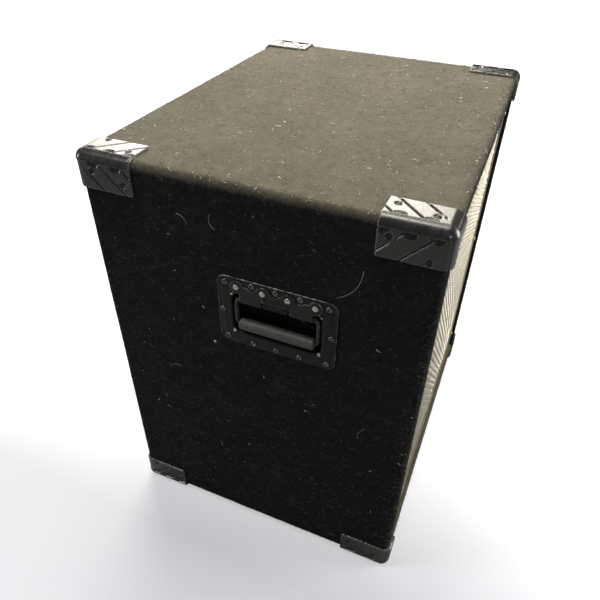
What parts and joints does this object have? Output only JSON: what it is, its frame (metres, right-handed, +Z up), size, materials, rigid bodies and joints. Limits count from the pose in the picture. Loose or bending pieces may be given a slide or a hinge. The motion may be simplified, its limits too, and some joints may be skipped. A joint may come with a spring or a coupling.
{
  "type": "subwoofer cabinet",
  "caption": "Carpeted plywood subwoofer cabinet with a wire-mesh grille, corner ports, swinging bar handles and moulded corner protectors.",
  "frame": {"origin": "centre of the footprint, on the floor under the corner protectors", "axes": "+Z up, the grille faces -Y, +X is the right-hand side seen from the front"},
  "size_m": [0.604, 0.473, 0.658],
  "materials": {
    "plywood": "bare birch plywood, satin",
    "painted_wood": "plywood painted flat black",
    "carpet": "needle-punched charcoal carpet, fuzzy",
    "wadding": "white polyester wadding",
    "corner_plastic": "moulded black plastic, satin",
    "black_screw": "black oxide steel",
    "zinc_screw": "bright zinc plate",
    "grille_steel": "zinc-plated steel wire and strip",
    "port_plastic": "black moulded plastic",
    "driver_frame": "cast frame with black wrinkle paint",
    "plated_steel": "zinc-plated steel",
    "ferrite": "grey ferrite",
    "gasket_foam": "black foam gasket",
    "surround_cloth": "doped black cloth",
    "spider_cloth": "resin-dipped cotton",
    "cone_paper": "pressed black paper pulp",
    "coil_copper": "enamelled copper on a glass-fibre former",
    "handle_steel": "pressed steel with black paint",
    "hinge_steel": "black painted steel, worn",
    "grip_rubber": "black moulded rubber",
    "spring_steel": "oiled spring steel",
    "plate_metal": "steel plate, black powder coat",
    "socket_plastic": "black nylon",
    "wire": "insulated copper wire"
  },
  "bodies": {
    "cabinet": {"side_panel_left": "plywood", "side_panel_right": "plywood", "top_panel": "plywood", "bottom_panel": "plywood", "rear_panel": "plywood", "baffle": "painted_wood", "baffle_battens": "plywood", "rear_battens": "plywood", "grille_battens": "painted_wood", "window_brace": "plywood", "wadding_left": "wadding", "wadding_right": "wadding", "wadding_rear": "wadding", "carpet_wrap": "carpet", "carpet_rear": "carpet", "corner_front_top_left": "corner_plastic", "corner_front_top_right": "corner_plastic", "corner_front_bottom_left": "corner_plastic", "corner_front_bottom_right": "corner_plastic", "corner_rear_top_left": "corner_plastic", "corner_rear_top_right": "corner_plastic", "corner_rear_bottom_left": "corner_plastic", "corner_rear_bottom_right": "corner_plastic", "corner_screws": "black_screw", "grille_frame": "grille_steel", "grille_mesh": "grille_steel", "grille_screws": "zinc_screw", "port_tube_left": "port_plastic", "port_tube_right": "port_plastic", "woofer_basket": "driver_frame", "woofer_gasket": "gasket_foam", "woofer_top_plate": "plated_steel", "woofer_magnet": "ferrite", "woofer_yoke": "plated_steel", "woofer_surround": "surround_cloth", "woofer_spider": "spider_cloth", "woofer_terminals": "socket_plastic", "woofer_bolts": "black_screw", "woofer_tee_nuts": "plated_steel", "jack_plate": "plate_metal", "jack_sockets": "socket_plastic", "jack_plate_screws": "black_screw", "speaker_wires": "wire", "handle_dish_left": "handle_steel", "handle_strap_left": "hinge_steel", "handle_rivets_left": "zinc_screw", "handle_screws_left": "black_screw", "handle_spring_left": "spring_steel", "handle_dish_right": "handle_steel", "handle_strap_right": "hinge_steel", "handle_rivets_right": "zinc_screw", "handle_screws_right": "black_screw", "handle_spring_right": "spring_steel"},
    "left_handle": {"handle_bail_left": "hinge_steel", "handle_grip_left": "grip_rubber"},
    "right_handle": {"handle_bail_right": "hinge_steel", "handle_grip_right": "grip_rubber"},
    "cone_assembly": {"woofer_cone": "cone_paper", "woofer_dust_cap": "cone_paper", "woofer_voice_coil": "coil_copper"}
  },
  "joints": [
    {"name": "left_handle_swing", "type": "hinge", "parent": "cabinet", "child": "left_handle", "pos_m": [-0.2935, -0.037, 0.494], "axis": [0, 1, 0], "range_deg": [0, 90], "stiffness_Nm_per_rad": 0.15},
    {"name": "right_handle_swing", "type": "hinge", "parent": "cabinet", "child": "right_handle", "pos_m": [0.2935, -0.037, 0.494], "axis": [0, -1, 0], "range_deg": [0, 90], "stiffness_Nm_per_rad": 0.15},
    {"name": "cone_travel", "type": "slide", "parent": "cabinet", "child": "cone_assembly", "axis": [0, -1, 0], "range_m": [-0.008, 0.008], "deforming": ["woofer_surround", "woofer_spider"]}
  ]
}
